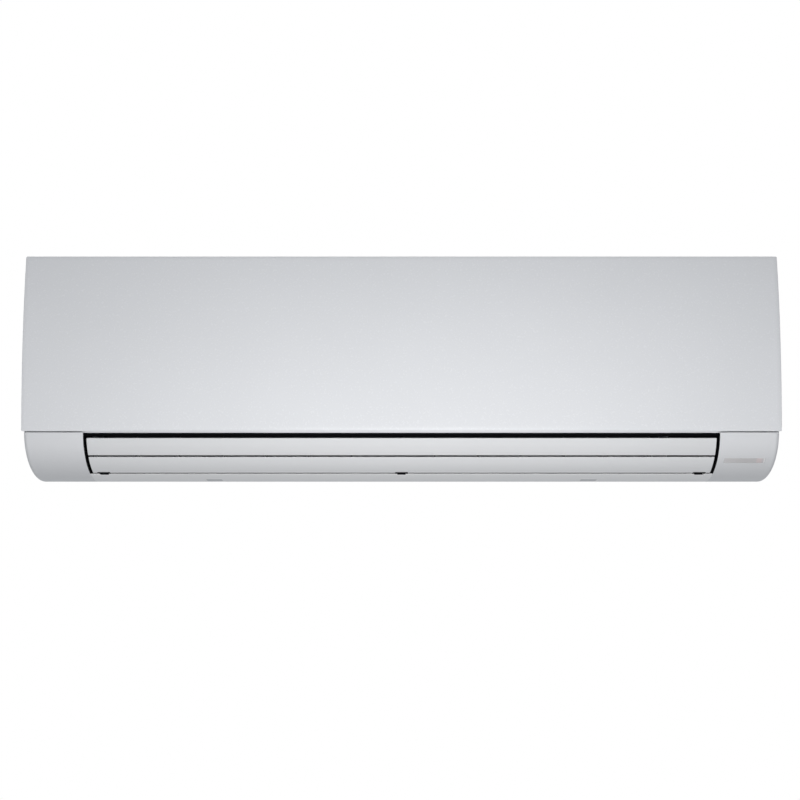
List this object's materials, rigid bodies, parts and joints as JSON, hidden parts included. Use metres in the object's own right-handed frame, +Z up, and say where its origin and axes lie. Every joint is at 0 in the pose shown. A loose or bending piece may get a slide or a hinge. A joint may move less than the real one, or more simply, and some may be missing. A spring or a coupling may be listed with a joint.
{
  "type": "wall-mounted fan coil unit",
  "caption": "Long white wall unit with a convex hinged panel, two linked outlet louvers, a water coil and a cross-flow blower on a pressed steel wall plate.",
  "frame": {"origin": "centre of the wall plate's back face", "axes": "+X to the right seen from the front, +Y towards the wall, +Z up"},
  "size_m": [1.072, 0.23, 0.325],
  "materials": {
    "panel_plastic": "smooth glossy white",
    "white_plastic": "satin white",
    "grey_plastic": "matte light grey",
    "dark_plastic": "matte black",
    "filter_net": "fine woven net",
    "zinc_steel": "zinc coated sheet",
    "bright_steel": "bright steel",
    "fins": "blue-coated fins",
    "copper": "copper tube",
    "brass": "turned brass",
    "black_rubber": "soft black",
    "board": "green circuit board",
    "window": "grey translucent strip"
  },
  "bodies": {
    "case": {"wall_plate": "zinc_steel", "chassis": "grey_plastic", "front_frame": "white_plastic", "coil_front_lower": "fins", "coil_front_upper": "fins", "coil_rear": "fins", "coil_end_plate_left": "zinc_steel", "coil_end_plate_right": "zinc_steel", "coil_bends": "copper", "supply_pipe": "copper", "return_pipe": "copper", "air_vent": "brass", "outlet_duct": "grey_plastic", "drain_spigot": "black_rubber", "louver_supports": "white_plastic", "end_bearing": "black_rubber", "fan_motor": "zinc_steel", "motor_rings": "black_rubber", "motor_clamp": "grey_plastic", "louver_stepper": "zinc_steel", "vane_rails": "grey_plastic", "control_box": "grey_plastic", "control_cover": "zinc_steel", "control_board": "board", "terminal_block": "grey_plastic", "display_board": "board", "display_window": "window", "manual_switch": "dark_plastic", "case_screws": "bright_steel", "small_screws": "bright_steel", "screw_caps": "white_plastic"},
    "panel": {"front_panel": "panel_plastic"},
    "fan": {"blower_wheel": "dark_plastic", "wheel_stub": "bright_steel", "motor_shaft": "bright_steel"},
    "louver_upper": {"upper_louver": "white_plastic", "stepper_shaft": "bright_steel"},
    "louver_lower": {"lower_louver": "white_plastic"},
    "link": {"louver_link": "white_plastic"},
    "filter_left": {"filter_frame_left": "grey_plastic", "filter_net_left": "filter_net"},
    "filter_right": {"filter_frame_right": "grey_plastic", "filter_net_right": "filter_net"},
    "button": {"manual_button": "grey_plastic"},
    "rod_left": {"vane_rod_left": "dark_plastic"},
    "rod_right": {"vane_rod_right": "dark_plastic"},
    "air_vane_1": {"vane_1": "dark_plastic"},
    "air_vane_2": {"vane_2": "dark_plastic"},
    "air_vane_3": {"vane_3": "dark_plastic"},
    "air_vane_4": {"vane_4": "dark_plastic"},
    "air_vane_5": {"vane_5": "dark_plastic"},
    "air_vane_6": {"vane_6": "dark_plastic"},
    "air_vane_7": {"vane_7": "dark_plastic"},
    "air_vane_8": {"vane_8": "dark_plastic"},
    "air_vane_9": {"vane_9": "dark_plastic"},
    "air_vane_10": {"vane_10": "dark_plastic"},
    "air_vane_11": {"vane_11": "dark_plastic"},
    "air_vane_12": {"vane_12": "dark_plastic"}
  },
  "joints": [
    {"name": "panel_open", "type": "hinge", "parent": "case", "child": "panel", "pos_m": [0, -0.176, 0.156], "axis": [-1, 0, 0], "range_deg": [0, 60]},
    {"name": "fan_spin", "type": "hinge", "parent": "case", "child": "fan", "pos_m": [0, -0.112, -0.05], "axis": [1, 0, 0], "continuous": true},
    {"name": "louver_swing", "type": "hinge", "parent": "case", "child": "louver_upper", "pos_m": [0, -0.203, -0.114], "axis": [1, 0, 0], "range_deg": [0, 60]},
    {"name": "lower_louver_swing", "type": "hinge", "parent": "case", "child": "louver_lower", "pos_m": [0, -0.145, -0.1443], "axis": [1, 0, 0], "range_deg": [0, 60]},
    {"name": "link_turn", "type": "hinge", "parent": "louver_upper", "child": "link", "pos_m": [0.4285, -0.196, -0.10188], "axis": [1, 0, 0], "range_deg": [-60, 0]},
    {"name": "filter_left_lift", "type": "slide", "parent": "case", "child": "filter_left", "axis": [0, 0, 1], "range_m": [0, 0.008]},
    {"name": "filter_right_lift", "type": "slide", "parent": "case", "child": "filter_right", "axis": [0, 0, 1], "range_m": [0, 0.008]},
    {"name": "button_press", "type": "slide", "parent": "case", "child": "button", "axis": [0, 1, 0], "range_m": [0, 0.002], "stiffness_N_per_m": 400, "springref_m": -0.0005},
    {"name": "vanes_left_turn", "type": "hinge", "parent": "case", "child": "air_vane_1", "pos_m": [-0.382, -0.128, -0.13245], "axis": [0, -0.4392, 0.8984], "range_deg": [-30, 30]},
    {"name": "vane_2_turn", "type": "hinge", "parent": "case", "child": "air_vane_2", "pos_m": [-0.32, -0.128, -0.13245], "axis": [0, -0.4392, 0.8984], "range_deg": [-30, 30]},
    {"name": "vane_3_turn", "type": "hinge", "parent": "case", "child": "air_vane_3", "pos_m": [-0.258, -0.128, -0.13245], "axis": [0, -0.4392, 0.8984], "range_deg": [-30, 30]},
    {"name": "vane_4_turn", "type": "hinge", "parent": "case", "child": "air_vane_4", "pos_m": [-0.196, -0.128, -0.13245], "axis": [0, -0.4392, 0.8984], "range_deg": [-30, 30]},
    {"name": "vane_5_turn", "type": "hinge", "parent": "case", "child": "air_vane_5", "pos_m": [-0.134, -0.128, -0.13245], "axis": [0, -0.4392, 0.8984], "range_deg": [-30, 30]},
    {"name": "vane_6_turn", "type": "hinge", "parent": "case", "child": "air_vane_6", "pos_m": [-0.072, -0.128, -0.13245], "axis": [0, -0.4392, 0.8984], "range_deg": [-30, 30]},
    {"name": "rod_left_turn", "type": "hinge", "parent": "air_vane_1", "child": "rod_left", "pos_m": [-0.382, -0.13878, -0.13772], "axis": [0, -0.4392, 0.8984], "range_deg": [-30, 30]},
    {"name": "vanes_right_turn", "type": "hinge", "parent": "case", "child": "air_vane_7", "pos_m": [0.048, -0.128, -0.13245], "axis": [0, -0.4392, 0.8984], "range_deg": [-30, 30]},
    {"name": "vane_8_turn", "type": "hinge", "parent": "case", "child": "air_vane_8", "pos_m": [0.11, -0.128, -0.13245], "axis": [0, -0.4392, 0.8984], "range_deg": [-30, 30]},
    {"name": "vane_9_turn", "type": "hinge", "parent": "case", "child": "air_vane_9", "pos_m": [0.172, -0.128, -0.13245], "axis": [0, -0.4392, 0.8984], "range_deg": [-30, 30]},
    {"name": "vane_10_turn", "type": "hinge", "parent": "case", "child": "air_vane_10", "pos_m": [0.234, -0.128, -0.13245], "axis": [0, -0.4392, 0.8984], "range_deg": [-30, 30]},
    {"name": "vane_11_turn", "type": "hinge", "parent": "case", "child": "air_vane_11", "pos_m": [0.296, -0.128, -0.13245], "axis": [0, -0.4392, 0.8984], "range_deg": [-30, 30]},
    {"name": "vane_12_turn", "type": "hinge", "parent": "case", "child": "air_vane_12", "pos_m": [0.358, -0.128, -0.13245], "axis": [0, -0.4392, 0.8984], "range_deg": [-30, 30]},
    {"name": "rod_right_turn", "type": "hinge", "parent": "air_vane_7", "child": "rod_right", "pos_m": [0.048, -0.13878, -0.13772], "axis": [0, -0.4392, 0.8984], "range_deg": [-30, 30]}
  ],
  "couplings": [
    {"joint": "lower_louver_swing", "follows": "louver_swing", "ratio": 1},
    {"joint": "link_turn", "follows": "louver_swing", "ratio": -1},
    {"joint": "vane_2_turn", "follows": "vanes_left_turn", "ratio": 1},
    {"joint": "vane_3_turn", "follows": "vanes_left_turn", "ratio": 1},
    {"joint": "vane_4_turn", "follows": "vanes_left_turn", "ratio": 1},
    {"joint": "vane_5_turn", "follows": "vanes_left_turn", "ratio": 1},
    {"joint": "vane_6_turn", "follows": "vanes_left_turn", "ratio": 1},
    {"joint": "rod_left_turn", "follows": "vanes_left_turn", "ratio": -1},
    {"joint": "vane_8_turn", "follows": "vanes_right_turn", "ratio": 1},
    {"joint": "vane_9_turn", "follows": "vanes_right_turn", "ratio": 1},
    {"joint": "vane_10_turn", "follows": "vanes_right_turn", "ratio": 1},
    {"joint": "vane_11_turn", "follows": "vanes_right_turn", "ratio": 1},
    {"joint": "vane_12_turn", "follows": "vanes_right_turn", "ratio": 1},
    {"joint": "rod_right_turn", "follows": "vanes_right_turn", "ratio": -1}
  ]
}
